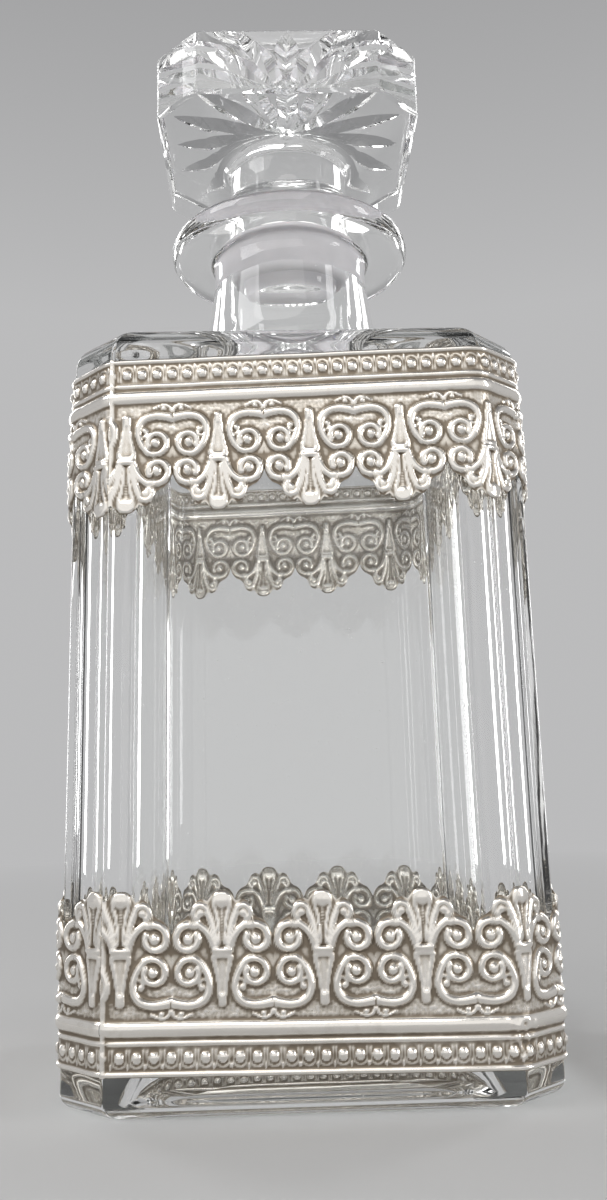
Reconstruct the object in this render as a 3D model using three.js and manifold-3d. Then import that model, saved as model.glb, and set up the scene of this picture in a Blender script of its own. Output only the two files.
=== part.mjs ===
// Square glass spirit decanter: a tapered bottle with cut corners, a starburst stopper in a plastic seal,
// and two stamped metal bands wrapped round the glass. Millimetres, +Z up, origin at the centre of the base.
import * as THREE from "three";
import { mergeVertices } from "three/addons/utils/BufferGeometryUtils.js";
import Module from "manifold-3d";

// Bottle, outside
const BASE_WIDTH = 90;
const SHOULDER_WIDTH = 88;
const CORNER_CUT = 8.8; // leg of the flat cut off each vertical edge, at the base
const FOOT_BEVEL = 2.6;
const RECESS_WIDTH = 64; // hollow under the base, so that the bottle stands on a flat ring
const RECESS_DEPTH = 1.5;
const SHOULDER_HEIGHT = 145; // top of the rounded shoulder edge
const SHOULDER_ROUND = 6;
const SHOULDER_RISE = 3;
const NECK_HEIGHT = 35.4; // from the shoulder's middle to the top of the lip
const NECK_ROOT_RADIUS = 25;
const NECK_RADIUS = 17.7;
const NECK_STRAIGHT = 6; // plain neck between the flare and the lip
const LIP_RADIUS = 27.8;
const LIP_THICKNESS = 5.4;

// Bottle, inside
const WALL = 5.6;
const FLOOR_THICKNESS = 13;
const FLOOR_FILLET = 13;
const INNER_CORNER_RADIUS = 10;
const SHOULDER_WALL = 7;
const BORE_RADIUS = 13.4;

// Stopper and seal
const CLEARANCE = 0.3; // between pieces that fit in each other
const SEAL_WALL = 1.5;
const SEAL_DEPTH = 12.9; // how far the seal reaches into the neck
const SEAL_COLLAR_RADIUS = 16;
const SEAL_COLLAR = 1.2;
const SEAL_FIN = 0.8; // how far each fin stands out of the sleeve
const PLUG_BELOW_SEAL = 3;
const SHANK_RADIUS = 14.2;
const SHANK_LENGTH = 20;
const SHANK_FILLET = 5;
const HEAD_WIDTH = 59;
const HEAD_HEIGHT = 15.4;
const HEAD_CORNER_CUT = 9.4;
const HEAD_BEVEL = 0.9;

// Starburst pressed into the top of the stopper
const STAR_RAYS = 16;
const STAR_HALF = 26;
const STAR_LONGEST = 30;
const STAR_HEART = 1.6; // plain spot at the middle
const STAR_RAY_WIDTH = 4.6;
const STAR_DEPTH = 2.4;

// Metal bands
const BAND_HEIGHT = 30.6;
const BAND_METAL = 0.5;
const BAND_GLUE = CLEARANCE;
const BEAD_ROW = 5.8; // from the straight edge to the rib
const RIB_WIDTH = 3.8;
const RIB_HEIGHT = 0.9;
const SEAM_GAP = 0.4;
const MOTIFS = 20;
const FIRST_MOTIF = 3; // from the seam to the first palmette's tip
const LAST_MOTIF = 2; // from the last palmette's tip to the seam
const LOWER_BAND_ABOVE_BASE = 6.9;
const UPPER_BAND_BELOW_SHOULDER = 7.4;
const LOWER_BAND_SLOPE = -0.012; // the bands are fixed by hand, a little out of level
const UPPER_BAND_SLOPE = 0.03;
// One palmette's edge: across in shares of the pitch, and how far it lies below the tip in millimetres.
const PALMETTE_EDGE = [
  [0, 0],
  [0.15, 1.4],
  [0.3, 4],
  [0.43, 6],
  [0.5, 8],
];

// Fineness of round stretches
const ROUND_STEPS = 48;
const ARC_STEPS = 5;
const WELD = 1e-3;

const wasm = await Module();
wasm.setup();

const glass = () =>
  new THREE.MeshPhysicalMaterial({
    color: 0xeef4f4,
    roughness: 0.03,
    metalness: 0,
    transmission: 0.95,
    ior: 1.52,
  });
const silver = () => new THREE.MeshStandardMaterial({ color: 0xd9d2c4, roughness: 0.24, metalness: 1 });
const milkyPlastic = () => new THREE.MeshStandardMaterial({ color: 0xd6d3d6, roughness: 0.45, metalness: 0 });

const toSolid = (geometry) => {
  const bare = geometry.index ? geometry.toNonIndexed() : geometry.clone();
  bare.deleteAttribute("normal");
  bare.deleteAttribute("uv");
  const merged = mergeVertices(bare, WELD);
  return new wasm.Manifold(
    new wasm.Mesh({
      numProp: 3,
      vertProperties: merged.attributes.position.array,
      triVerts: new Uint32Array(merged.index.array),
    }),
  );
};

const toMesh = (name, solid, material) => {
  const { vertProperties, triVerts } = solid.getMesh();
  const geometry = new THREE.BufferGeometry();
  geometry.setAttribute("position", new THREE.BufferAttribute(new Float32Array(vertProperties), 3));
  geometry.setIndex(new THREE.BufferAttribute(new Uint32Array(triVerts), 1));
  geometry.computeVertexNormals();
  const mesh = new THREE.Mesh(geometry, material);
  mesh.name = name;
  return mesh;
};

// Points of a quarter arc from one direction to the other, as [across, up] pairs.
const arc = (across, up, radius, fromDegrees, toDegrees) =>
  Array.from({ length: ARC_STEPS + 1 }, (_, i) => {
    const angle = THREE.MathUtils.degToRad(THREE.MathUtils.lerp(fromDegrees, toDegrees, i / ARC_STEPS));
    return [across + radius * Math.cos(angle), up + radius * Math.sin(angle)];
  });

// A round solid from its profile of [radius, height] pairs.
const turned = (profile) => {
  const points = profile.map(([radius, height]) => new THREE.Vector2(radius, height));
  return toSolid(new THREE.LatheGeometry(points, ROUND_STEPS).rotateX(Math.PI / 2));
};

// The same with a square section: the profile gives the half width, and outline the section at half width 1.
const squareTurned = (profile, outline) => {
  const points = profile.map(([halfWidth, height]) => new THREE.Vector2(halfWidth, height));
  const geometry = new THREE.LatheGeometry(points, outline.length);
  const position = geometry.attributes.position;
  for (let i = 0; i < position.count; i++) {
    const [halfWidth, height] = profile[i % profile.length];
    const corner = outline[Math.floor(i / profile.length) % outline.length];
    position.setXYZ(i, corner.x * halfWidth, corner.y * halfWidth, height);
  }
  return toSolid(geometry);
};

// A square with its corners cut off, anticlockwise from the left end of the front side.
const cutSquare = (halfWidth, cut) => {
  const flat = halfWidth - cut;
  return [
    [-flat, -halfWidth],
    [flat, -halfWidth],
    [halfWidth, -flat],
    [halfWidth, flat],
    [flat, halfWidth],
    [-flat, halfWidth],
    [-halfWidth, flat],
    [-halfWidth, -flat],
  ].map(([x, y]) => new THREE.Vector2(x, y));
};

const roundedSquare = (radius) => {
  const centre = 1 - radius;
  const signs = [
    [1, -1, -90],
    [1, 1, 0],
    [-1, 1, 90],
    [-1, -1, 180],
  ];
  return signs.flatMap(([x, y, start]) =>
    arc(x * centre, y * centre, radius, start, start + 90).map(([px, py]) => new THREE.Vector2(px, py)),
  );
};

// Half the body's outside width at a height: it narrows evenly from the base to the shoulder.
const halfWidthAt = (height) =>
  THREE.MathUtils.lerp(BASE_WIDTH, SHOULDER_WIDTH, height / SHOULDER_HEIGHT) / 2;

const shoulderHalf = SHOULDER_WIDTH / 2;
const neckRoot = SHOULDER_HEIGHT + SHOULDER_RISE;
const lipTop = neckRoot + NECK_HEIGHT;
const lipUnderside = lipTop - LIP_THICKNESS;

function bottle() {
  const body = squareTurned(
    [
      [0, RECESS_DEPTH],
      [RECESS_WIDTH / 2, RECESS_DEPTH],
      [RECESS_WIDTH / 2 + RECESS_DEPTH, 0],
      [BASE_WIDTH / 2 - FOOT_BEVEL, 0],
      [halfWidthAt(FOOT_BEVEL), FOOT_BEVEL],
      ...arc(shoulderHalf - SHOULDER_ROUND, SHOULDER_HEIGHT - SHOULDER_ROUND, SHOULDER_ROUND, 0, 90),
      [NECK_ROOT_RADIUS, neckRoot],
      [0, neckRoot],
    ],
    cutSquare(1, CORNER_CUT / (BASE_WIDTH / 2)),
  );

  const flareTop = lipUnderside - NECK_STRAIGHT;
  const flare = new THREE.CubicBezierCurve(
    new THREE.Vector2(NECK_ROOT_RADIUS, neckRoot - 1),
    new THREE.Vector2(NECK_RADIUS + 2.5, neckRoot + 1),
    new THREE.Vector2(NECK_RADIUS + 0.6, flareTop - 8),
    new THREE.Vector2(NECK_RADIUS, flareTop),
  );
  const rim = LIP_THICKNESS / 2;
  const neck = turned([
    [0, neckRoot - 1],
    ...flare.getPoints(ARC_STEPS).map((p) => [p.x, p.y]),
    [NECK_RADIUS, lipUnderside - 2.5],
    [NECK_RADIUS + 1.6, lipUnderside - 0.6],
    ...arc(LIP_RADIUS - rim, lipUnderside + rim, rim, -90, 90),
    [0, lipTop],
  ]);

  const innerBase = halfWidthAt(FLOOR_THICKNESS) - WALL;
  const innerTop = shoulderHalf - WALL;
  const ceiling = SHOULDER_HEIGHT - SHOULDER_WALL;
  const cavity = squareTurned(
    [
      [0, FLOOR_THICKNESS],
      ...arc(innerBase - FLOOR_FILLET, FLOOR_THICKNESS + FLOOR_FILLET, FLOOR_FILLET, -90, 0),
      ...arc(innerTop - SHOULDER_ROUND, ceiling - SHOULDER_ROUND, SHOULDER_ROUND, 0, 90),
      [0, ceiling],
    ],
    roundedSquare(INNER_CORNER_RADIUS / (BASE_WIDTH / 2 - WALL)),
  );
  const bore = turned([
    [0, ceiling - 2],
    [BORE_RADIUS + 6, ceiling - 2],
    [BORE_RADIUS + 2.4, neckRoot - 1],
    [BORE_RADIUS, neckRoot + 6],
    [BORE_RADIUS, lipTop + 1],
    [0, lipTop + 1],
  ]);
  return toMesh("bottle", body.add(neck).subtract(cavity).subtract(bore), glass());
}

const sealOuter = BORE_RADIUS - CLEARANCE - SEAL_FIN;
const plugRadius = sealOuter - SEAL_WALL - CLEARANCE;
const sealBottom = lipTop - SEAL_DEPTH;
const shankBottom = lipTop + SEAL_COLLAR;
const headBottom = shankBottom + SHANK_LENGTH;
const headTop = headBottom + HEAD_HEIGHT;

// A sleeve pushed over the plug, with a collar that sits on the lip and fins that grip the bore.
function seal() {
  const inner = plugRadius + CLEARANCE;
  const fins = [0.15, 0.45, 0.75].flatMap((share) => {
    const height = sealBottom + share * SEAL_DEPTH;
    return [
      [sealOuter, height - 0.7],
      [sealOuter + SEAL_FIN, height + 0.2],
      [sealOuter, height + 0.9],
    ];
  });
  return toMesh(
    "stopper_seal",
    turned([
      [inner, sealBottom],
      [sealOuter - 0.5, sealBottom],
      [sealOuter, sealBottom + 0.8],
      ...fins,
      [sealOuter, lipTop],
      [SEAL_COLLAR_RADIUS, lipTop],
      [SEAL_COLLAR_RADIUS, shankBottom],
      [inner, shankBottom],
      [inner, sealBottom],
    ]),
    milkyPlastic(),
  );
}

// The V-shaped cut of one ray, lying along +X, widest past its middle and level with z = 0.
function rayCutter(length) {
  const geometry = new THREE.OctahedronGeometry(1);
  const widest = 0.62 * length;
  const position = geometry.attributes.position;
  for (let i = 0; i < position.count; i++) {
    const x = position.getX(i);
    const along = x > 0.5 ? length : x < -0.5 ? 0 : widest;
    position.setXYZ(i, along, (position.getY(i) * STAR_RAY_WIDTH) / 2, position.getZ(i) * STAR_DEPTH);
  }
  return geometry;
}

function stopper() {
  const half = HEAD_WIDTH / 2;
  const head = squareTurned(
    [
      [0, headBottom],
      [half - HEAD_BEVEL, headBottom],
      [half, headBottom + HEAD_BEVEL],
      [half, headTop - HEAD_BEVEL],
      [half - HEAD_BEVEL, headTop],
      [0, headTop],
    ],
    cutSquare(1, HEAD_CORNER_CUT / half),
  );
  const plugBottom = sealBottom - PLUG_BELOW_SEAL;
  const plug = turned([
    [0, plugBottom],
    [plugRadius - 1.5, plugBottom],
    [plugRadius, plugBottom + 1.2],
    [plugRadius, shankBottom],
    [SHANK_RADIUS, shankBottom],
    ...arc(SHANK_RADIUS + SHANK_FILLET, headBottom - SHANK_FILLET, SHANK_FILLET, 180, 90),
    [SHANK_RADIUS + SHANK_FILLET, headBottom + 1],
    [0, headBottom + 1],
  ]);
  let solid = head.add(plug);
  for (let i = 0; i < STAR_RAYS; i++) {
    const angle = (2 * Math.PI * i) / STAR_RAYS;
    const toSquare = STAR_HALF / Math.max(Math.abs(Math.cos(angle)), Math.abs(Math.sin(angle)));
    const reach = Math.min(toSquare, STAR_LONGEST);
    const cutter = rayCutter(reach - STAR_HEART).translate(STAR_HEART, 0, headTop).rotateZ(angle);
    solid = solid.subtract(toSolid(cutter));
  }
  return toMesh("stopper", solid, glass());
}

// A stamped strip wrapped round the body from a seam at the front left edge. straightEdge is the height of
// its plain edge, and the palmettes point the way that upward (1 or -1) says.
function band(name, straightEdge, upward, slope) {
  // The body's corners at a height, moved out by offset on every side.
  const cornersAt = (height, offset) => {
    const half = halfWidthAt(height);
    const cut = (CORNER_CUT * half) / (BASE_WIDTH / 2);
    return cutSquare(half + offset, cut + offset * (2 - Math.SQRT2));
  };
  const middle = cornersAt(straightEdge + (upward * BAND_HEIGHT) / 2, 0);
  const lengths = middle.map((p, i, all) => p.distanceTo(all[(i + 1) % 8]));
  const starts = lengths.map((_, i) => lengths.slice(0, i).reduce((a, b) => a + b, 0));
  const girth = starts[7] + lengths[7];
  const pitch = (girth - FIRST_MOTIF - LAST_MOTIF) / (MOTIFS - 1);

  const halfLeft = PALMETTE_EDGE.map(([share, drop]) => [-share, drop]).reverse();
  const halfRight = PALMETTE_EDGE.slice(1, -1);
  const edge = [];
  for (let i = -1; i <= MOTIFS; i++) {
    for (const [share, drop] of [...halfLeft, ...halfRight]) {
      edge.push([FIRST_MOTIF + (i + share) * pitch, drop]);
    }
  }
  const dropAt = (s) => {
    const next = edge.findIndex(([at]) => at >= s);
    const [[s0, d0], [s1, d1]] = [edge[next - 1], edge[next]];
    return THREE.MathUtils.lerp(d0, d1, (s - s0) / (s1 - s0));
  };

  const stripEnd = girth - SEAM_GAP;
  const columns = [...edge.map(([s]) => s), ...starts, stripEnd]
    .filter((s) => s >= 0 && s <= stripEnd)
    .sort((a, b) => a - b)
    .filter((s, i, all) => i === 0 || s - all[i - 1] > 0.05);
  const inner = BAND_GLUE;
  const outer = BAND_GLUE + BAND_METAL;
  const rows = [
    [0, outer],
    [BEAD_ROW, outer],
    [BEAD_ROW + RIB_WIDTH / 2, outer + RIB_HEIGHT],
    [BEAD_ROW + RIB_WIDTH, outer],
    [null, outer],
  ];

  const across = columns.length - 1;
  const along = rows.length - 1;
  const geometry = new THREE.BoxGeometry(across, along, 1, across, along, 1);
  const position = geometry.attributes.position;
  for (let i = 0; i < position.count; i++) {
    const s = columns[Math.round(position.getX(i) + across / 2)];
    const [rowHeight, rowOuter] = rows[Math.round(along / 2 + upward * position.getY(i))];
    const offset = position.getZ(i) > 0 ? rowOuter : inner;
    const rise = rowHeight ?? BAND_HEIGHT - dropAt(s);
    const facet = starts.findLastIndex((start) => s >= start - 1e-6);
    const share = (s - starts[facet]) / lengths[facet];
    const level = straightEdge + upward * rise;
    const corners = cornersAt(level, offset);
    const spot = corners[facet].lerp(corners[(facet + 1) % 8], share);
    position.setXYZ(i, spot.x, spot.y, level + slope * spot.x);
  }
  return toMesh(name, toSolid(geometry), silver());
}

const group = new THREE.Group();
group.add(
  bottle(),
  seal(),
  stopper(),
  band("lower_band", LOWER_BAND_ABOVE_BASE, 1, LOWER_BAND_SLOPE),
  band("upper_band", SHOULDER_HEIGHT - UPPER_BAND_BELOW_SHOULDER, -1, UPPER_BAND_SLOPE),
);
export default group;
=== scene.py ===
import math

import bmesh
import bpy
import numpy as np
from mathutils import Matrix, Vector

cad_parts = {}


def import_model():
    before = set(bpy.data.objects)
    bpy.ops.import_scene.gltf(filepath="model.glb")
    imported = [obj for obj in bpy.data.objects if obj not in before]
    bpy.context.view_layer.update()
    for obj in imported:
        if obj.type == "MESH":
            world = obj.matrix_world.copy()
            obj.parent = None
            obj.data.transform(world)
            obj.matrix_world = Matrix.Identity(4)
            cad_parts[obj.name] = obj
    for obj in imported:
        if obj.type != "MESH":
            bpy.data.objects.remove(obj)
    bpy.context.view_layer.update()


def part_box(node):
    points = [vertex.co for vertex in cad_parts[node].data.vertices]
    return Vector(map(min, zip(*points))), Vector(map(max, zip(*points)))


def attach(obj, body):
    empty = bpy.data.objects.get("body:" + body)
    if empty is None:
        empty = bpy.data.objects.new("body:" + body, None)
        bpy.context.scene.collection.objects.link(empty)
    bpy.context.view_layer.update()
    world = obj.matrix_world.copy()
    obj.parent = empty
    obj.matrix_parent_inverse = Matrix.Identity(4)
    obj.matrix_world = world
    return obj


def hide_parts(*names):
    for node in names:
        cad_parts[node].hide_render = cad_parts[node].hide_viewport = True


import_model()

MM = 0.001

# --------------------------------------------------------------------------------------------------
# Sizes, in millimetres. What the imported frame's boxes hold is read from them.


def box_mm(node):
    low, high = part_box(node)
    return [c / MM for c in low], [c / MM for c in high]


_, bottle_high = box_mm("bottle")
stopper_low, stopper_high = box_mm("stopper")
seal_low, seal_high = box_mm("stopper_seal")

BASE_HALF = 45.0
SHOULDER_HALF = 44.0
SHOULDER_HEIGHT = 145.0
CORNER_CUT = 8.8
SHOULDER_ROUND = 6.5
LIP_TOP = bottle_high[2]
LIP_THICKNESS = 5.4
LIP_RADIUS = 27.8
NECK_RADIUS = 17.7
BORE_RADIUS = 13.4
WALL = 5.6
FLOOR_THICKNESS = 13.0
FLOOR_FILLET = 13.5
FOOT_ROUND = 3.2
CEILING_HEIGHT = 138  # top of the square cavity
CEILING_ROUND = 6.5

HEAD_HALF = stopper_high[0]
HEAD_TOP = stopper_high[2]
HEAD_HEIGHT = 15.4
HEAD_BOTTOM = HEAD_TOP - HEAD_HEIGHT
HEAD_CORNER_CUT = 9.4
SEAL_TOP = seal_high[2]
SEAL_BOTTOM = seal_low[2]
SEAL_COLLAR_RADIUS = 16.0
PLUG_BOTTOM = stopper_low[2]
PLUG_RADIUS = 10.5
SHANK_RADIUS = 14.2
SHANK_FILLET = 5.0

BAND_HEIGHT = 30.6
MOTIFS = 20
FIRST_MOTIF = 3.0  # from the strip's front end to the first palmette's tip
LAST_MOTIF = 2.0  # from the last palmette's tip to the strip's other end
LOWER_EDGE = 6.9  # height of each band's plain edge
UPPER_EDGE = 137.6
LOWER_SLOPE = -0.012  # the bands are a little out of level
UPPER_SLOPE = 0.03


# --------------------------------------------------------------------------------------------------
# Small tools


def deselect_all():
    if bpy.context.mode != "OBJECT":
        bpy.ops.object.mode_set(mode="OBJECT")
    bpy.ops.object.select_all(action="DESELECT")


def pick(piece):
    deselect_all()
    piece.select_set(True)
    bpy.context.view_layer.objects.active = piece


def select_edges(piece, wanted):
    """In edit mode, selects the edges for which wanted(start, end) is true."""
    bpy.ops.mesh.select_all(action="DESELECT")
    bpy.ops.mesh.select_mode(type="EDGE")
    mesh = bmesh.from_edit_mesh(piece.data)
    for edge in mesh.edges:
        edge.select_set(bool(wanted(edge.verts[0].co, edge.verts[1].co)))
    mesh.select_flush_mode()
    bmesh.update_edit_mesh(piece.data)


def smooth(piece, degrees=30):
    pick(piece)
    bpy.ops.object.shade_smooth_by_angle(angle=math.radians(degrees))


def settle(piece):
    """Puts a finished piece's place into its mesh."""
    pick(piece)
    bpy.ops.object.transform_apply(location=True, rotation=True, scale=True)


def new_piece(name, points, edges, faces):
    """A piece from points in millimetres."""
    mesh = bpy.data.meshes.new(name)
    mesh.from_pydata([Vector(p) * MM for p in points], edges, faces)
    piece = bpy.data.objects.new(name, mesh)
    bpy.context.scene.collection.objects.link(piece)
    return piece


def face_outwards(piece):
    pick(piece)
    bpy.ops.object.mode_set(mode="EDIT")
    bpy.ops.mesh.select_all(action="SELECT")
    bpy.ops.mesh.normals_make_consistent(inside=False)
    bpy.ops.object.mode_set(mode="OBJECT")


def cut_or_join(piece, other, operation):
    pick(piece)
    change = piece.modifiers.new(operation.title(), "BOOLEAN")
    change.operation = operation
    change.object = other
    change.solver = "MANIFOLD"
    bpy.ops.object.modifier_apply(modifier=change.name)
    bpy.data.objects.remove(other)


def arc(across, up, radius, start, end, steps=8):
    """Points of an arc, as (across, up), from one direction to another in degrees."""
    angles = [math.radians(start + (end - start) * i / steps) for i in range(steps + 1)]
    return [(across + radius * math.cos(a), up + radius * math.sin(a)) for a in angles]


def turned(name, profile, steps=128):
    """A round piece, spun from its profile of (radius, height) in millimetres."""
    points = [(radius, 0, height) for radius, height in profile]
    piece = new_piece(name, points, [(i, i + 1) for i in range(len(points) - 1)], [])
    pick(piece)
    bpy.ops.object.mode_set(mode="EDIT")
    bpy.ops.mesh.select_all(action="SELECT")
    bpy.ops.mesh.spin(steps=steps, angle=math.tau, center=(0, 0, 0), axis=(0, 0, 1))
    bpy.ops.mesh.select_all(action="SELECT")
    bpy.ops.mesh.remove_doubles(threshold=1e-6)
    bpy.ops.mesh.normals_make_consistent(inside=False)
    bpy.ops.object.mode_set(mode="OBJECT")
    return piece


def block(name, low, high):
    """A box between two corners, in millimetres."""
    deselect_all()
    middle = [(a + b) / 2 * MM for a, b in zip(low, high)]
    bpy.ops.mesh.primitive_cube_add(size=1, location=middle)
    piece = bpy.context.object
    piece.name = name
    piece.scale = [(b - a) * MM for a, b in zip(low, high)]
    settle(piece)
    return piece


# --------------------------------------------------------------------------------------------------
# Materials


def node_material(name):
    material = bpy.data.materials.new(name)
    material.use_nodes = True
    tree = material.node_tree
    tree.nodes.clear()
    output = tree.nodes.new("ShaderNodeOutputMaterial")
    shader = tree.nodes.new("ShaderNodeBsdfPrincipled")
    tree.links.new(shader.outputs[0], output.inputs[0])
    return material, tree, shader, output


def noise(tree, scale, detail, roughness):
    place = tree.nodes.new("ShaderNodeTexCoord")
    pattern = tree.nodes.new("ShaderNodeTexNoise")
    pattern.inputs["Scale"].default_value = scale
    pattern.inputs["Detail"].default_value = detail
    pattern.inputs["Roughness"].default_value = roughness
    tree.links.new(place.outputs["Object"], pattern.inputs[0])
    return pattern.outputs["Fac"]


def spread(tree, value, low, high, to_low=0.0, to_high=1.0):
    step = tree.nodes.new("ShaderNodeMapRange")
    tree.links.new(value, step.inputs["Value"])
    step.inputs["From Min"].default_value = low
    step.inputs["From Max"].default_value = high
    step.inputs["To Min"].default_value = to_low
    step.inputs["To Max"].default_value = to_high
    return step.outputs["Result"]


def combine(tree, operation, a, b):
    node = tree.nodes.new("ShaderNodeMath")
    node.operation = operation
    for socket, value in zip(node.inputs, (a, b)):
        if isinstance(value, (int, float)):
            socket.default_value = value
        else:
            tree.links.new(value, socket)
    return node.outputs[0]


def blend_colour(tree, factor, a, b):
    node = tree.nodes.new("ShaderNodeMix")
    node.data_type = "RGBA"
    tree.links.new(factor, node.inputs["Factor"])
    for socket, value in ((node.inputs[6], a), (node.inputs[7], b)):
        if isinstance(value, tuple):
            socket.default_value = (*value, 1)
        else:
            tree.links.new(value, socket)
    return node.outputs[2]


def bumped(tree, shader, height, strength, distance):
    bump = tree.nodes.new("ShaderNodeBump")
    bump.inputs["Strength"].default_value = strength
    bump.inputs["Distance"].default_value = distance
    tree.links.new(height, bump.inputs["Height"])
    tree.links.new(bump.outputs[0], shader.inputs["Normal"])


def clear_glass(name, dust):
    """Pressed glass: clear, faintly grey-green where it is thick, with a film of dust and fine rubs."""
    material, tree, shader, output = node_material(name)
    shader.inputs["Base Color"].default_value = (0.985, 0.99, 0.988, 1)
    shader.inputs["Transmission Weight"].default_value = 1
    shader.inputs["IOR"].default_value = 1.52
    film = spread(tree, noise(tree, 55, 5, 0.65), 0.5, 0.8, 0.0, 0.05 * dust)
    specks = spread(tree, noise(tree, 1500, 2, 0.5), 0.735, 0.77, 0.0, 0.3 * dust)
    rough = combine(tree, "ADD", combine(tree, "MAXIMUM", film, specks), 0.004)
    tree.links.new(rough, shader.inputs["Roughness"])
    bumped(tree, shader, noise(tree, 60, 2, 0.5), 0.12, 0.0002)
    # lamps shine through it
    clear = tree.nodes.new("ShaderNodeBsdfTransparent")
    clear.inputs[0].default_value = (0.95, 0.96, 0.957, 1)
    path = tree.nodes.new("ShaderNodeLightPath")
    either = tree.nodes.new("ShaderNodeMixShader")
    tree.links.new(path.outputs["Is Shadow Ray"], either.inputs[0])
    tree.links.new(shader.outputs[0], either.inputs[1])
    tree.links.new(clear.outputs[0], either.inputs[2])
    tree.links.new(either.outputs[0], output.inputs[0])
    return material


def silver_plate():
    """Stamped silver plate: pale and warm on the high places, brown-grey in the hollows: tarnish on the low
    ground and painted shade in the creases.
    """
    material, tree, shader, _ = node_material("silver_plate_tarnish_and_painted_shade")
    # mask from the band: tarnish on the low ground and painted shade in the creases, both turned brown-grey
    # by the ramp below
    tarnish_and_painted_shade = tree.nodes.new("ShaderNodeAttribute")
    tarnish_and_painted_shade.attribute_name = "tarnish_and_painted_shade"
    depth = tarnish_and_painted_shade.outputs["Fac"]
    mottle = noise(tree, 420, 5, 0.6)
    patches = noise(tree, 70, 3, 0.55)
    tone = combine(tree, "ADD", depth, spread(tree, mottle, 0.3, 0.7, -0.14, 0.14))
    tone = combine(tree, "ADD", tone, spread(tree, patches, 0.35, 0.75, -0.08, 0.16))
    ramp = tree.nodes.new("ShaderNodeValToRGB")
    stops = ramp.color_ramp.elements
    stops[0].position = 0.08
    stops[0].color = (0.93, 0.895, 0.845, 1)
    stops[1].position = 0.95
    stops[1].color = (0.24, 0.2, 0.155, 1)
    middle = stops.new(0.42)
    middle.color = (0.7, 0.65, 0.58, 1)
    tree.links.new(tone, ramp.inputs[0])
    tree.links.new(ramp.outputs[0], shader.inputs["Base Color"])
    shader.inputs["Metallic"].default_value = 1
    worn = combine(tree, "ADD", depth, spread(tree, mottle, 0.3, 0.7, -0.1, 0.1))
    tree.links.new(spread(tree, worn, 0.0, 1.0, 0.17, 0.46), shader.inputs["Roughness"])
    bumped(tree, shader, noise(tree, 900, 3, 0.6), 0.25, 0.00006)
    return material


def milky_plastic():
    """Soft polyethylene: milky, with a dull skin, and light glowing a little way through it."""
    material, tree, shader, _ = node_material("milky_polyethylene")
    cloud = spread(tree, noise(tree, 160, 3, 0.5), 0.35, 0.7)
    shade = blend_colour(tree, cloud, (0.68, 0.66, 0.685), (0.61, 0.595, 0.62))
    tree.links.new(shade, shader.inputs["Base Color"])
    shader.inputs["Subsurface Weight"].default_value = 0.35
    shader.inputs["Subsurface Radius"].default_value = (1.0, 0.9, 0.85)
    shader.inputs["Subsurface Scale"].default_value = 0.0012
    tree.links.new(spread(tree, noise(tree, 500, 3, 0.6), 0.3, 0.7, 0.34, 0.5), shader.inputs["Roughness"])
    bumped(tree, shader, noise(tree, 700, 3, 0.6), 0.15, 0.00008)
    return material


# --------------------------------------------------------------------------------------------------
# Bottle: one glass skin from the hollow under the base, up the outside, over the lip and down the inside


def half_width_at(height):
    return BASE_HALF + (SHOULDER_HALF - BASE_HALF) * height / SHOULDER_HEIGHT


def cut_square(half, flat):
    """The eight corners of a square with cut corners, from the left end of the front."""
    quarter = [(-flat, -half), (flat, -half), (half, -flat), (half, flat)]
    return quarter + [(-x, -y) for x, y in quarter]


def eased_corner(corner, before, after, radius, steps):
    """Rounds one corner of an outline and returns the arc's points."""
    a = (before - corner).normalized()
    b = (after - corner).normalized()
    half_angle = a.angle(b) / 2
    reach = radius / math.tan(half_angle)
    centre = corner + (a + b).normalized() * (radius / math.sin(half_angle))
    start = corner + a * reach - centre
    turn = start.angle_signed(corner + b * reach - centre)
    return [centre + Matrix.Rotation(-turn * i / steps, 2) @ start for i in range(steps + 1)]


def outline_points(half, cut, radius, arc_steps, flat_steps, cut_steps):
    """A square with cut corners, each of its eight edges eased. Always the same number of points."""
    corners = [Vector(p) for p in cut_square(half, half - cut)]
    arcs = [
        eased_corner(corner, corners[i - 1], corners[(i + 1) % 8], radius, arc_steps)
        for i, corner in enumerate(corners)
    ]
    points = []
    for i, bend in enumerate(arcs):
        points += bend
        steps = flat_steps if i % 2 == 0 else cut_steps
        onward = arcs[(i + 1) % 8][0]
        points += [bend[-1].lerp(onward, k / steps) for k in range(1, steps)]
    return points


def skin(name, rings):
    """Joins rings of as many points each into one closed skin, with a point at each end."""
    count = len(rings[0])
    points = [p for ring in rings for p in ring]
    low, high = rings[0], rings[-1]
    points.append(sum((Vector(p) for p in low), Vector()) / count)
    points.append(sum((Vector(p) for p in high), Vector()) / count)
    faces = []
    for r in range(len(rings) - 1):
        for k in range(count):
            a, b = r * count + k, r * count + (k + 1) % count
            faces.append((a, b, b + count, a + count))
    first, last = len(points) - 2, len(points) - 1
    top = (len(rings) - 1) * count
    for k in range(count):
        faces.append((first, (k + 1) % count, k))
        faces.append((top + k, top + (k + 1) % count, last))
    piece = new_piece(name, points, [], faces)
    face_outwards(piece)
    return piece


def between(a, b, steps):
    """Evenly spaced places from a to b, with both ends."""
    return [tuple(p + (q - p) * i / steps for p, q in zip(a, b)) for i in range(steps + 1)]


def blended_ring(square, square_half, radius, height, share):
    """A ring part way from the square outline, scaled to square_half, to a circle, which has share 1."""
    ring = []
    for p in square:
        straight = p * square_half
        angle = math.atan2(p.y, p.x)
        around = Vector((math.cos(angle), math.sin(angle))) * radius
        both = straight.lerp(around, share)
        ring.append((both.x, both.y, height))
    return ring


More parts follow.
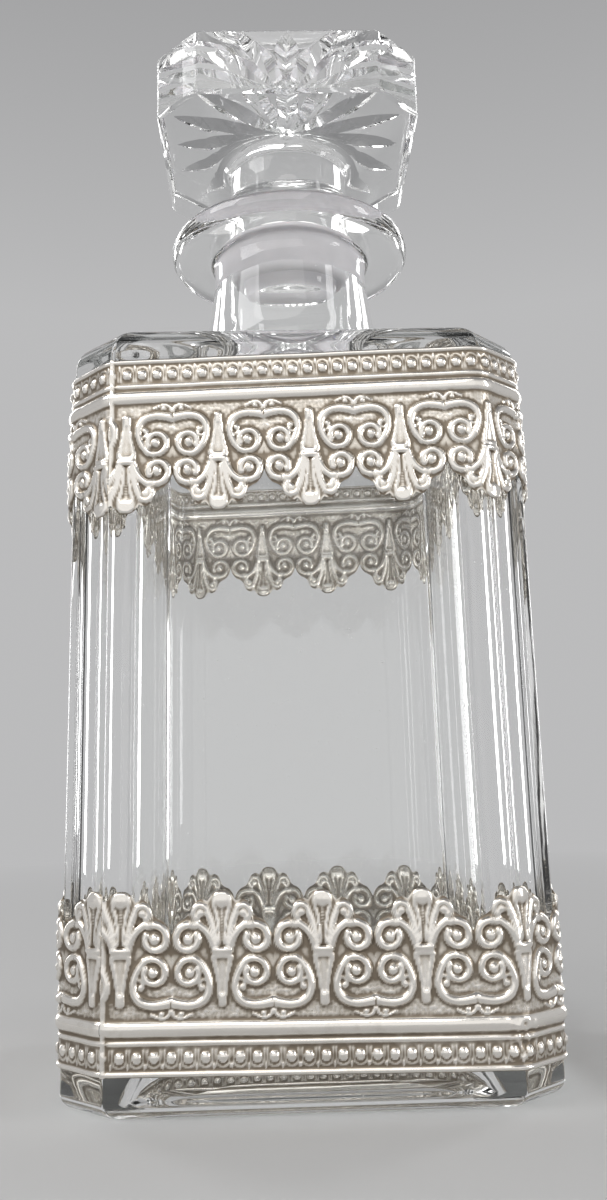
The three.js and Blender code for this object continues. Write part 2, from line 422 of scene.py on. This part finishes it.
def wave(x, y, z, size, salt):
    """A gentle, steady swell of the moulded glass, between about -1 and 1."""
    return (
        math.sin(x / size + 1.7 * salt + 0.6 * math.sin(z / size * 0.7 + salt))
        + math.sin(z / (size * 1.3) + 2.3 * salt + 0.8 * math.sin(y / size + salt))
        + math.sin((x + y + z) / (size * 1.9) + salt)
    ) / 3


def bottle():
    section = dict(arc_steps=5, flat_steps=14, cut_steps=4)
    outer_unit = outline_points(1, CORNER_CUT / BASE_HALF, 1.6 / BASE_HALF, **section)
    rings = []

    def square_ring(half, height):
        rings.append(blended_ring(outer_unit, half, half, height, 0))

    # base: a shallow hollow inside a flat foot ring with a rounded edge
    for half, height in ((6, 1.6), (16, 1.6), (26, 1.5), (31.5, 1.35), (33, 0.6), (34.2, 0.06), (35.4, 0)):
        square_ring(half, height)
    square_ring(half_width_at(0) - FOOT_ROUND - 1.2, 0)
    for half, height in arc(half_width_at(FOOT_ROUND) - FOOT_ROUND, FOOT_ROUND, FOOT_ROUND, -90, 0, 7):
        square_ring(half, height)
    top_arc = SHOULDER_HEIGHT - SHOULDER_ROUND
    for _, height in between((0, FOOT_ROUND + 1.5), (0, top_arc - 1), 26):
        square_ring(half_width_at(height), height)
    for half, height in arc(SHOULDER_HALF - SHOULDER_ROUND, top_arc, SHOULDER_ROUND, 0, 84, 9):
        square_ring(half, height)

    # shoulder: rises gently and turns round on its way to the neck
    flare = [
        (36.2, 145.25, 0.0),
        (34.2, 145.6, 0.1),
        (32.0, 145.95, 0.32),
        (29.8, 146.4, 0.62),
        (27.7, 147.0, 0.87),
        (25.8, 147.9, 1.0),
        (24.1, 149.2, 1.0),
        (22.7, 151.0, 1.0),
        (21.5, 153.4, 1.0),
        (20.5, 156.5, 1.0),
        (19.65, 160.2, 1.0),
        (18.95, 164.4, 1.0),
        (18.3, 168.8, 1.0),
        (17.85, 172.6, 1.0),
        (17.72, 175.2, 1.0),
    ]
    for radius, height, share in flare:
        rings.append(blended_ring(outer_unit, radius, radius, height, share))

    def round_ring(radius, height):
        rings.append(blended_ring(outer_unit, radius, radius, height, 1))

    under = LIP_TOP - LIP_THICKNESS
    for radius, height in arc(NECK_RADIUS + 1.7, under - 1.7, 1.7, 180, 90, 5):
        round_ring(radius, height)
    for radius, _ in between((21, 0), (25, 0), 2):
        round_ring(radius, under + 0.03 * (radius - 19))
    for radius, height in arc(LIP_RADIUS - 1.9, under + 2.1, 1.9, -80, 0, 6):
        round_ring(radius, height)
    for radius, height in arc(LIP_RADIUS - 2.3, LIP_TOP - 2.3, 2.3, 5, 90, 7):
        round_ring(radius, height)
    for radius, _ in between((23.5, 0), (BORE_RADIUS + 2.6, 0), 4):
        round_ring(radius, LIP_TOP)
    for radius, height in arc(BORE_RADIUS + 1.1, LIP_TOP - 1.1, 1.1, 90, 180, 5):
        round_ring(radius, height)
    for _, height in between((0, LIP_TOP - 3), (0, 158), 8):
        round_ring(BORE_RADIUS, height)

    # inside: opens from the bore under the shoulder into the square cavity
    inner_unit = outline_points(1, 0.256, 0.42, **section)
    cavity_half = SHOULDER_HALF - WALL
    throat = [
        (13.6, 155.0, 1.0),
        (14.1, 151.8, 1.0),
        (15.2, 148.6, 1.0),
        (17.0, 145.6, 1.0),
        (19.4, 143.0, 1.0),
        (22.2, 141.0, 0.88),
        (25.2, 139.6, 0.66),
        (28.4, 138.7, 0.4),
        (31.2, 138.2, 0.15),
    ]
    for radius, height, share in throat:
        rings.append(blended_ring(inner_unit, radius, radius, height, share))

    def inner_ring(half, height):
        ring = blended_ring(inner_unit, half, half, height, 0)
        reach = max(0.0, min(1.0, (height - FLOOR_THICKNESS - 2) / 30))
        swell = [1 + reach * 0.0062 * wave(x, y, z, 13, 1.0) for x, y, z in ring]
        rings.append([(x * s, y * s, z) for (x, y, z), s in zip(ring, swell)])

    round_centre = CEILING_HEIGHT - CEILING_ROUND
    for half, height in arc(cavity_half - CEILING_ROUND, round_centre, CEILING_ROUND, 82, 0, 8):
        inner_ring(half, height)
    low_half = half_width_at(FLOOR_THICKNESS) - WALL
    fillet_centre = FLOOR_THICKNESS + FLOOR_FILLET
    for half, height in between((cavity_half, round_centre - 2.5), (low_half, fillet_centre + 2.5), 40):
        inner_ring(half, height)
    for half, height in arc(low_half - FLOOR_FILLET, fillet_centre, FLOOR_FILLET, 0, -86, 12):
        inner_ring(half, height)
    for half, drop in ((21, 0.1), (15, 0.2), (9, 0.28), (4, 0.3)):
        inner_ring(half, FLOOR_THICKNESS - drop)

    piece = skin("bottle_glass", rings)
    smooth(piece, 40)
    piece.data.materials.append(clear_glass("bottle_clear_glass", 1.0))
    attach(piece, "bottle")
    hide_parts("bottle")


# --------------------------------------------------------------------------------------------------
# Stopper and seal

STAR_RAYS = 16
STAR_HALF = 26.6
STAR_LONGEST = 30.0
STAR_HEART = 0.5  # where each ray starts, from the middle
RAY_STATIONS = 24
RAY_LIFT = 0.4  # how far the cutter stands above the top face


def ray_cutter(length, turn):
    """A leaf-shaped wedge that cuts one ray, its flat side above the stopper's top face."""
    points, faces = [], []
    for i in range(RAY_STATIONS + 1):
        t = i / RAY_STATIONS
        half = np.interp(
            t, (0, 0.25, 0.45, 0.62, 0.8, 0.92, 1), (1.0, 1.75, 2.35, 2.6, 2.15, 1.15, 0.03)
        )
        depth = np.interp(t, (0, 0.25, 0.62, 0.8, 0.92, 1), (3.8, 3.5, 3.0, 2.3, 1.3, 0.03))
        x = STAR_HEART + t * (length - STAR_HEART)
        side = half + RAY_LIFT * half / depth
        points += [(x, -side, RAY_LIFT), (x, 0, -depth), (x, side, RAY_LIFT)]
    for i in range(RAY_STATIONS):
        a, b = 3 * i, 3 * i + 3
        faces += [(a, a + 1, b + 1, b), (a + 1, a + 2, b + 2, b + 1), (a + 2, a, b, b + 2)]
    last = 3 * RAY_STATIONS
    faces += [(2, 1, 0), (last, last + 1, last + 2)]
    cutter = new_piece("ray_cutter", points, [], faces)
    cutter.data.transform(Matrix.Translation((0, 0, HEAD_TOP * MM)) @ Matrix.Rotation(turn, 4, "Z"))
    face_outwards(cutter)
    return cutter


def stopper():
    low, high = (-HEAD_HALF, -HEAD_HALF, HEAD_BOTTOM), (HEAD_HALF, HEAD_HALF, HEAD_TOP)
    head = block("stopper_glass", low, high)
    pick(head)
    bpy.ops.object.mode_set(mode="EDIT")
    select_edges(head, lambda a, b: abs(a.z - b.z) > 5 * MM)
    bpy.ops.mesh.bevel(offset=HEAD_CORNER_CUT * MM, segments=1, affect="EDGES")
    bpy.ops.mesh.select_all(action="SELECT")
    bpy.ops.mesh.bevel(offset=0.75 * MM, segments=1, affect="EDGES")
    bpy.ops.object.mode_set(mode="OBJECT")

    profile = [(0, PLUG_BOTTOM + 1.0), (3, PLUG_BOTTOM + 0.85), (6, PLUG_BOTTOM + 0.45)]
    profile += arc(PLUG_RADIUS - 1.6, PLUG_BOTTOM + 1.6, 1.6, -90, 0, 6)
    profile += [(PLUG_RADIUS, SEAL_TOP - 2), (PLUG_RADIUS, SEAL_TOP - 0.6)]
    profile += arc(PLUG_RADIUS + 0.6, SEAL_TOP - 0.6, 0.6, 180, 90, 3)[1:-1]
    profile += [(PLUG_RADIUS + 0.7, SEAL_TOP + 0.02), (SHANK_RADIUS - 1.2, SEAL_TOP + 0.02)]
    profile += arc(SHANK_RADIUS - 1.0, SEAL_TOP + 1.0, 1.0, -90, 0, 4)
    waist = SHANK_RADIUS - 0.5
    fillet_foot = HEAD_BOTTOM - SHANK_FILLET
    profile += [(SHANK_RADIUS - 0.25, SEAL_TOP + 3.5), (waist, SEAL_TOP + 8)]
    profile += [(waist + 0.05, fillet_foot - 2)]
    profile += arc(waist + SHANK_FILLET, fillet_foot, SHANK_FILLET, 180, 100, 10)
    profile += [(waist + SHANK_FILLET + 1, HEAD_BOTTOM + 0.6), (0, HEAD_BOTTOM + 0.6)]
    stem = turned("shank_and_plug", profile, 128)
    cut_or_join(head, stem, "UNION")

    for i in range(STAR_RAYS):
        turn = math.tau * i / STAR_RAYS
        to_square = STAR_HALF / max(abs(math.cos(turn)), abs(math.sin(turn)))
        cut_or_join(head, ray_cutter(min(to_square, STAR_LONGEST), turn), "DIFFERENCE")
    head.name = "stopper_glass"
    smooth(head, 28)
    head.data.materials.clear()
    head.data.materials.append(clear_glass("stopper_clear_glass", 0.4))
    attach(head, "stopper")
    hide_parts("stopper")


def seal():
    inner = PLUG_RADIUS - 0.02
    grip = BORE_RADIUS + 0.03  # squeezed against the bore, so that no air shows between
    low = SEAL_BOTTOM
    profile = [(inner, low + 0.9), (inner + 0.35, low + 0.25), (inner + 0.8, low)]
    profile += [(grip - 1.5, low + 0.02), (grip - 0.9, low + 0.25), (grip - 0.35, low + 0.8)]
    profile += [(grip - 0.05, low + 1.5), (grip, low + 1.9), (grip, LIP_TOP - 1.4)]
    profile += [(grip + 0.1, LIP_TOP - 0.9), (grip + 0.5, LIP_TOP - 0.25), (grip + 1.05, LIP_TOP + 0.02)]
    collar = SEAL_COLLAR_RADIUS - 0.4
    profile += [(collar, LIP_TOP + 0.03)]
    profile += arc(collar, LIP_TOP + 0.43, 0.4, -90, 0, 3)[1:]
    profile += arc(collar, SEAL_TOP - 0.42, 0.4, 0, 90, 3)
    profile += [(inner + 0.6, SEAL_TOP - 0.02)]
    profile += arc(inner + 0.6, SEAL_TOP - 0.62, 0.6, 90, 180, 3)[1:]
    profile += [(inner, SEAL_TOP - 2.5), (inner, low + 0.9)]
    piece = turned("seal_sleeve", profile, 128)
    smooth(piece, 40)
    piece.data.materials.append(milky_plastic())
    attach(piece, "seal")
    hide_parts("stopper_seal")


# --------------------------------------------------------------------------------------------------
# Stamped bands. The relief is worked out in millimetres: s runs along the strip with a palmette at 0,
# and v up from the plain edge.

HALF_MOTIF = 8.65  # half the pitch that the palmette was drawn on


def path_through(*points):
    """A smooth curve through given points."""
    p = np.array([points[0], *points, points[-1]], float)
    out = []
    for i in range(1, len(p) - 2):
        a, b, c, d = p[i - 1 : i + 3]
        square, cube = 2 * a - 5 * b + 4 * c - d, 3 * b - a - 3 * c + d
        for t in np.arange(0, 1, 1 / 6):
            out.append(0.5 * (2 * b + (c - a) * t + square * t**2 + cube * t**3))
    out.append(p[-2])
    return [tuple(q) for q in out]


def spiral(centre, start, end, start_radius, end_radius):
    angles = np.radians(np.linspace(start, end, 29))
    radii = np.linspace(start_radius, end_radius, 29)
    return [(centre[0] + r * math.cos(a), centre[1] + r * math.sin(a)) for a, r in zip(angles, radii)]


def ridge(u, v, path, half_start, half_end, height):
    """A half-round ridge along a path."""
    p = np.array(path, float)
    lengths = np.hypot(*np.diff(p, axis=0).T)
    along = np.concatenate([[0], np.cumsum(lengths)]) / lengths.sum()
    nearest = np.full(u.shape, 9.0)
    for i in range(len(p) - 1):
        a, d = p[i], p[i + 1] - p[i]
        t = np.clip(((u - a[0]) * d[0] + (v - a[1]) * d[1]) / max(d @ d, 1e-9), 0, 1)
        gap = np.hypot(u - a[0] - t * d[0], v - a[1] - t * d[1])
        half = half_start + (half_end - half_start) * (along[i] + t * (along[i + 1] - along[i]))
        nearest = np.minimum(nearest, gap / half)
    return height * np.sqrt(np.clip(1 - nearest**2, 0, None))


def dome(u, v, across, up, half_across, half_up, height):
    away = ((u - across) / half_across) ** 2
    return height * np.sqrt(np.clip(1 - away - ((v - up) / half_up) ** 2, 0, None))


def scatter(ix, iy, salt):
    value = np.sin(ix * 127.1 + iy * 311.7 + salt * 74.7) * 43758.5453
    return value - np.floor(value)


def punched(s, v, cell=0.66):
    """Punched ground: small rounded pits on an uneven grid, from 0 in a pit to 1 between pits."""
    column, row = np.floor(s / cell), np.floor(v / cell)
    nearest = np.full(s.shape, 9.0)
    for i in (-1, 0, 1):
        for k in (-1, 0, 1):
            x = (column + i + 0.5 + 0.7 * (scatter(column + i, row + k, 0) - 0.5)) * cell
            y = (row + k + 0.5 + 0.7 * (scatter(column + i, row + k, 1) - 0.5)) * cell
            nearest = np.minimum(nearest, np.hypot(s - x, v - y))
    return np.clip(nearest / cell, 0, 1)


# The palmette's edge: across from its tip, and how far below the tip.
OUTLINE = path_through(
    (0, 0), (0.85, 0.12), (1.6, 0.6), (2.15, 1.35), (2.5, 1.75), (3.1, 1.5), (3.8, 1.5), (4.55, 2.0),
    (5.1, 2.95), (5.5, 4.0), (6.2, 4.6), (7.2, 5.1), (8.0, 6.0), (8.45, 7.0), (HALF_MOTIF, 7.9),
)


def relief(s, v, pitch):
    """The stamped shape's height above its ground."""
    half = pitch / 2
    u = np.abs((s + half) % pitch - half) * (HALF_MOTIF / half)
    figure = np.zeros(u.shape)

    def add(shape):
        np.maximum(figure, shape, out=figure)

    # palmette: big volutes, side leaves that curl over, inner leaves, and a middle lobe with a row of dots
    volute = path_through((1.25, 20.9), (1.75, 22.3), (2.65, 23.8), (4.1, 24.95))
    volute += spiral((5.75, 22.55), 118, -205, 2.4, 1.55)
    add(ridge(u, v, volute, 0.74, 0.68, 0.72))
    add(dome(u, v, 5.75, 22.45, 1.0, 1.1, 0.8))
    leaf = path_through((0.95, 21.4), (1.4, 23.4), (1.95, 25.2), (2.45, 26.7))
    leaf += spiral((3.75, 26.85), 165, -60, 1.35, 1.05)
    add(ridge(u, v, leaf, 0.5, 0.66, 0.66))
    add(dome(u, v, 3.7, 26.85, 0.85, 0.88, 0.68))
    inner_leaf = path_through((0.7, 21.4), (1.0, 23.4), (1.5, 25.4), (2.15, 27.0), (2.75, 28.0))
    add(ridge(u, v, inner_leaf, 0.3, 0.42, 0.56))
    lobe = path_through(
        (0.4, 21.6), (0.55, 24.0), (0.85, 26.2), (1.3, 27.9), (1.25, 29.2), (0.7, 29.95), (0, 30.1)
    )
    add(ridge(u, v, lobe, 0.24, 0.5, 0.6))
    add(dome(u, v, 0, 28.95, 1.75, 1.5, 0.68))
    for i in range(11):
        add(dome(u, v, 0, 22.3 + 0.56 * i, 0.2 + 0.012 * i, 0.25, 0.42))
    fan = 0.24 * np.clip((v - 21.2) / 1.5, 0, 1) * np.clip((0.5 + 0.4 * (v - 21.5) - u) / 0.35, 0, 1)
    add(np.where(v < 29.8, fan, 0))

    # cap and stem, a tapering vase with a sunk panel
    add(ridge(u, v, [(0, 20.6), (1.35, 20.6)], 0.66, 0.6, 0.85))
    up = (11.2, 11.6, 12.5, 14.6, 16.8, 18.6, 19.6, 20.2)
    stem_half = np.interp(v, up, (0.3, 0.72, 0.76, 0.95, 1.35, 1.8, 1.95, 1.7))
    inside = np.clip(1 - (u / stem_half) ** 2, 0, None)
    stem = 0.66 * inside**0.4 * np.sqrt(np.clip((v - 11.2) / 0.35, 0, 1))
    panel = np.clip((0.6 * stem_half - u) / 0.22, 0, 1)
    panel = panel * np.clip((v - 13.2) / 0.5, 0, 1) * np.clip((19.5 - v) / 0.3, 0, 1)
    add(np.where((v > 11.2) & (v < 20.4), stem - 0.3 * panel, 0))

    # scroll bar along the rib, which turns up beside the stem and curls over into the middle volute
    bar = path_through(
        (HALF_MOTIF, 12.05), (7.2, 11.75), (5.6, 11.6), (4.1, 11.85), (2.95, 12.6), (2.3, 13.8), (2.2, 15.2),
        (2.55, 16.5), (3.1, 17.7),
    )
    add(ridge(u, v, bar, 0.95, 0.62, 0.78))
    middle = path_through((2.55, 16.5), (3.1, 17.7), (4.1, 18.85))
    middle += spiral((5.55, 16.95), 122, -205, 2.35, 1.5)
    add(ridge(u, v, middle, 0.62, 0.64, 0.7))
    add(dome(u, v, 5.5, 16.9, 0.92, 0.98, 0.78))
    add(ridge(u, v, path_through((2.6, 15.7), (3.25, 15.8), (3.8, 15.3), (3.7, 14.6)), 0.34, 0.42, 0.5))
    add(dome(u, v, 3.45, 14.5, 0.6, 0.62, 0.6))
    tendril = path_through((8.5, 10.8), (8.2, 9.95), (7.4, 9.5), (6.4, 9.6), (5.2, 10.2))
    add(ridge(u, v, tendril, 0.32, 0.2, 0.42))
    add(dome(u, v, 7.0, 10.2, 0.48, 0.44, 0.5))

    # punched ground between the figures, above the rib
    ground = 0.15 * punched(s + 100, v) * (v > 9) * np.clip((20 - v) / 6, 0.35, 1)
    height = figure + ground * (1 - np.clip(figure / 0.15, 0, 1))
    meeting = np.exp(-(((HALF_MOTIF - u) / 0.13) ** 2)) * np.exp(-(((v - 12.0) / 0.9) ** 2))
    height -= 0.4 * meeting

    # straight mouldings: rib, fine line and hem, with a row of beads in small cups and darts between
    for centre, wide, high in ((7.75, 1.35, 0.74), (5.45, 0.34, 0.3), (0.5, 0.42, 0.42)):
        height = np.maximum(height, high * np.clip(1 - ((v - centre) / wide) ** 2, 0, None) ** 0.6)
    step = pitch / 6
    bead = np.abs((s + step / 2) % step - step / 2)
    height = np.maximum(height, dome(bead, v, 0, 3.15, 0.86, 1.0, 0.6))
    cup = path_through((1.15, 4.3), (1.15, 3.1), (0.85, 1.95), (0, 1.5))
    height = np.maximum(height, ridge(bead, v, cup, 0.18, 0.22, 0.13))
    height = np.maximum(height, dome(np.abs(bead - step / 2), v, 0, 1.75, 0.2, 0.6, 0.26))
    return height


def softened(field, cells):
    """The same field with its sharp steps eased over a number of cells each way."""
    reach = int(3 * cells) + 1
    weights = np.exp(-0.5 * (np.arange(-reach, reach + 1) / cells) ** 2)
    weights /= weights.sum()
    for axis in (0, 1):
        wide = np.pad(field, [(reach, reach) if a == axis else (0, 0) for a in (0, 1)], mode="edge")
        field = np.apply_along_axis(lambda line: np.convolve(line, weights, "valid"), axis, wide)
    return field


def corner_plan(height):
    """The body's eight corners at a height."""
    half = half_width_at(height)
    return np.array(cut_square(half, half - CORNER_CUT * half / BASE_HALF))


SIDES = ("front", "right", "back", "left")
CELL = 0.26  # between neighbouring points of the sheet
SHEET = 0.25  # thickness of the stamped sheet
STAND_OFF = 0.62  # from the glass to the sheet's outer face at its ground
BEND = 2.0  # how far each side of a corner the sheet starts to bend
STRAIGHT_PART = 10.5  # up to here the strip is plain, and above it the figures follow the cut edge
FIGURES = BAND_HEIGHT - STRAIGHT_PART


def band(name, node, straight_edge, upward, slope, salt, knocks):
    """One band, as a piece of raised sheet for each side, with its cut corner."""
    half_way = straight_edge + upward * BAND_HEIGHT / 2
    plan = corner_plan(half_way)
    lengths = np.hypot(*(np.roll(plan, -1, axis=0) - plan).T)
    starts = np.concatenate([[0], np.cumsum(lengths)])
    girth = starts[-1]
    pitch = (girth - FIRST_MOTIF - LAST_MOTIF) / (MOTIFS - 1)

    def flat_spot(s, height):
        """Where a length along the strip lies on the body's faces at a height."""
        s = np.mod(s, girth)
        facet = np.clip(np.searchsorted(starts, s, side="right") - 1, 0, 7)
        share = (s - starts[facet]) / lengths[facet]
        scale = half_width_at(height) / half_width_at(half_way)
        a, b = plan[facet], plan[(facet + 1) % 8]
        return (a + (b - a) * share[..., None]) * scale[..., None]

    def bent(s, height):
        """The same, with the corners eased."""
        return sum(flat_spot(s + BEND * k / 4, height) for k in range(-4, 5)) / 9

    for index, side in enumerate(SIDES):
        s_low, s_high = starts[2 * index], starts[2 * index + 2]
        if side == "left":
            s_high = girth - 0.1  # the strip's end, just short of its front end
        columns = int(round((s_high - s_low) / CELL))
        rows = int(round(BAND_HEIGHT / CELL))
        s = np.linspace(s_low, s_high, columns + 1)
        t = np.linspace(0, BAND_HEIGHT, rows + 1)
        local = (s - FIRST_MOTIF) % pitch
        across = np.minimum(local, pitch - local) * (HALF_MOTIF * 2 / pitch)
        edge = np.array(OUTLINE)
        top = BAND_HEIGHT - np.interp(across, edge[:, 0], edge[:, 1])
        up = t[:, None]
        followed = STRAIGHT_PART + (up - STRAIGHT_PART) * (top[None, :] - STRAIGHT_PART) / FIGURES
        stretch = np.where(up < STRAIGHT_PART, up, followed)
        run = np.broadcast_to(s, stretch.shape)
        raised = relief(run - FIRST_MOTIF, stretch, pitch)
        raised = softened(raised, 0.13 / CELL)
        if side == "front":  # the strip's front end laps over its other end and stands a little proud
            lap = np.clip(1 - run / 0.75, 0, 1) ** 0.5
            raised = raised * (1 - lap) + np.maximum(raised, 0.62) * lap
        if side in ("front", "right"):  # knocked where it was bent round the corner
            near = np.exp(-(((run - starts[1]) / 2.6) ** 2)) * np.clip((stretch - 0.6) / 1.5, 0, 1)
            near = near * np.clip((9.6 - stretch) / 2, 0, 1)
            raised = raised + knocks * near * (punched(run * 0.31 + 7, stretch * 0.27, 0.62) - 0.62)
        # darkening mask for the silver: the low-ground term is tarnish, the crease term is painted shade
        painted_crease_shade = softened(raised, 0.55 / CELL) - raised
        tarnish_and_painted_shade = 0.12 + 0.2 * np.clip(1 - raised / 0.3, 0, 1) + np.clip(painted_crease_shade / 0.14, -0.25, 0.75)
        beaten = 0.09 * np.sin(run / 4.1 + salt) * np.sin(stretch / 5.3 + salt)
        beaten = beaten + 0.05 * np.sin(run / 1.9 + 2 * salt)
        level = straight_edge + upward * stretch
        spot = bent(run, level)
        along = bent(run + 0.05, level) - spot
        along /= np.hypot(along[..., 0], along[..., 1])[..., None]
        normal = np.stack([along[..., 1], -along[..., 0]], axis=-1)
        off = STAND_OFF + raised + np.clip(beaten, -0.1, 0.14)
        place = spot + normal * off[..., None]
        height = level + slope * place[..., 0]

        deselect_all()
        bpy.ops.mesh.primitive_grid_add(x_subdivisions=columns, y_subdivisions=rows, size=2)
        piece = bpy.context.object
        piece.name = f"{name}_{side}"
        mesh = piece.data
        count = len(mesh.vertices)
        flat = np.empty(count * 3)
        mesh.vertices.foreach_get("co", flat)
        flat = flat.reshape(-1, 3)
        i = np.rint((flat[:, 0] + 1) / 2 * columns).astype(int)
        j = np.rint((flat[:, 1] + 1) / 2 * rows).astype(int)
        shaped = np.stack([place[j, i, 0], place[j, i, 1], height[j, i]], axis=-1) * MM
        mesh.vertices.foreach_set("co", shaped.ravel())
        # stores the mask of tarnish and painted crease shade for the silver material
        mask = mesh.attributes.new("tarnish_and_painted_shade", "FLOAT", "POINT")
        mask.data.foreach_set("value", np.clip(tarnish_and_painted_shade[j, i], 0, 1))
        mesh.update()
        pick(piece)
        if upward < 0:
            bpy.ops.object.mode_set(mode="EDIT")
            bpy.ops.mesh.select_all(action="SELECT")
            bpy.ops.mesh.flip_normals()
            bpy.ops.object.mode_set(mode="OBJECT")
        wall = piece.modifiers.new("Sheet", "SOLIDIFY")
        wall.thickness = SHEET * MM
        wall.offset = -1
        wall.use_even_offset = False
        bpy.ops.object.modifier_apply(modifier=wall.name)
        smooth(piece, 60)
        piece.data.materials.append(silver)
        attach(piece, "bottle")
        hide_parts(node)


silver = silver_plate()


# --------------------------------------------------------------------------------------------------
# Stage: camera, floor, world and lamps

BACKDROP = (0.5, 0.5, 0.505)
WINDOW_SIDE = (0.9, 0.895, 0.885)
CEILING = (0.24, 0.24, 0.245)
FLOOR_TONE = 0.56
FLOOR_RADIUS = 8.0  # metres, and so are the places of the lamps

CAMERA_PLACE = Vector((-5.09, -246.5, 50.67)) * MM
CAMERA_TURN = math.radians(-1.478)
CAMERA_TILT = math.radians(10.794)
CAMERA_ROLL = math.radians(-1.455)


def camera():
    data = bpy.data.cameras.new("camera")
    data.sensor_width = 36
    data.lens = 33.44
    data.clip_start = 0.01
    data.clip_end = 50
    eye = bpy.data.objects.new("camera", data)
    bpy.context.scene.collection.objects.link(eye)
    eye.matrix_world = (
        Matrix.Translation(CAMERA_PLACE)
        @ Matrix.Rotation(CAMERA_TURN, 4, "Z")
        @ Matrix.Rotation(math.pi / 2 + CAMERA_TILT, 4, "X")
        @ Matrix.Rotation(CAMERA_ROLL, 4, "Z")
    )
    bpy.context.scene.camera = eye


def backdrop_tone(tree, direction):
    """Pale grey behind the object, and brighter on the side where the windows would be."""
    split = tree.nodes.new("ShaderNodeSeparateXYZ")
    tree.links.new(direction, split.inputs[0])
    return blend_colour(tree, spread(tree, split.outputs[1], -0.15, -0.85), BACKDROP, WINDOW_SIDE)


def floor():
    deselect_all()
    bpy.ops.mesh.primitive_circle_add(vertices=96, radius=FLOOR_RADIUS, fill_type="NGON", location=(0, 0, 0))
    ground = bpy.context.object
    ground.name = "floor"
    material, tree, shader, output = node_material("pale_floor")
    shader.inputs["Base Color"].default_value = (FLOOR_TONE, FLOOR_TONE, FLOOR_TONE, 1)
    shader.inputs["Roughness"].default_value = 0.7
    shader.inputs["Specular IOR Level"].default_value = 0.2
    # far from the object the floor melts into the backdrop
    place = tree.nodes.new("ShaderNodeTexCoord")
    reach = tree.nodes.new("ShaderNodeVectorMath")
    reach.operation = "LENGTH"
    tree.links.new(place.outputs["Object"], reach.inputs[0])
    far = tree.nodes.new("ShaderNodeEmission")
    away = tree.nodes.new("ShaderNodeVectorMath")
    away.operation = "NORMALIZE"
    tree.links.new(place.outputs["Object"], away.inputs[0])
    tree.links.new(backdrop_tone(tree, away.outputs["Vector"]), far.inputs[0])
    melt = tree.nodes.new("ShaderNodeMixShader")
    tree.links.new(spread(tree, reach.outputs["Value"], 0.18, 1.1), melt.inputs[0])
    tree.links.new(shader.outputs[0], melt.inputs[1])
    tree.links.new(far.outputs[0], melt.inputs[2])
    tree.links.new(melt.outputs[0], output.inputs[0])
    ground.data.materials.append(material)


def lamp(name, place, aim, size, power, tint=(1, 1, 1)):
    data = bpy.data.lights.new(name, "AREA")
    data.shape = "RECTANGLE"
    data.size, data.size_y = size
    data.energy = power
    data.color = tint
    light = bpy.data.objects.new(name, data)
    bpy.context.scene.collection.objects.link(light)
    light.location = place
    light.rotation_mode = "QUATERNION"
    light.visible_camera = False
    light.rotation_quaternion = (Vector(aim) - Vector(place)).to_track_quat("-Z", "Y")


def world():
    sky = bpy.data.worlds.new("studio")
    bpy.context.scene.world = sky
    sky.use_nodes = True
    tree = sky.node_tree
    tree.nodes.clear()
    output = tree.nodes.new("ShaderNodeOutputWorld")
    shown = tree.nodes.new("ShaderNodeBackground")
    place = tree.nodes.new("ShaderNodeTexCoord")
    split = tree.nodes.new("ShaderNodeSeparateXYZ")
    tree.links.new(place.outputs["Generated"], split.inputs[0])
    rise = spread(tree, split.outputs[2], 0.42, 0.85)
    tone = blend_colour(tree, rise, backdrop_tone(tree, place.outputs["Generated"]), CEILING)
    tree.links.new(tone, shown.inputs[0])
    shown.inputs[1].default_value = 1.0
    tree.links.new(shown.outputs[0], output.inputs[0])


def stage():
    camera()
    floor()
    world()
    lamp("front_panel", (-0.2, -0.62, 0.72), (0, 0, 0.12), (0.9, 0.5), 1.9, (1, 0.985, 0.96))
    lamp("key", (-0.6, -0.25, 0.75), (0, 0, 0.1), (0.4, 0.4), 2.0)
    # the strips stand out where the floor takes no light
    lamp("right_strip", (1.24, -0.5, 0.3), (0, 0, 0.1), (0.24, 1.2), 4.8)
    lamp("back_left", (-1.0, 1.1, 0.5), (0, 0, 0.1), (0.28, 1.4), 6.2)
    lamp("back_right", (1.1, 1.0, 0.5), (0, 0, 0.1), (0.28, 1.4), 5.4)
    settings = bpy.context.scene
    settings.view_settings.view_transform = "Standard"
    settings.cycles.max_bounces = 24
    settings.cycles.glossy_bounces = 10
    settings.cycles.transmission_bounces = 20
    settings.cycles.transparent_max_bounces = 16


stage()
bottle()
stopper()
seal()
band("lower_band", "lower_band", LOWER_EDGE, 1, LOWER_SLOPE, 0.4, 0.8)
band("upper_band", "upper_band", UPPER_EDGE, -1, UPPER_SLOPE, 1.9, 0.15)
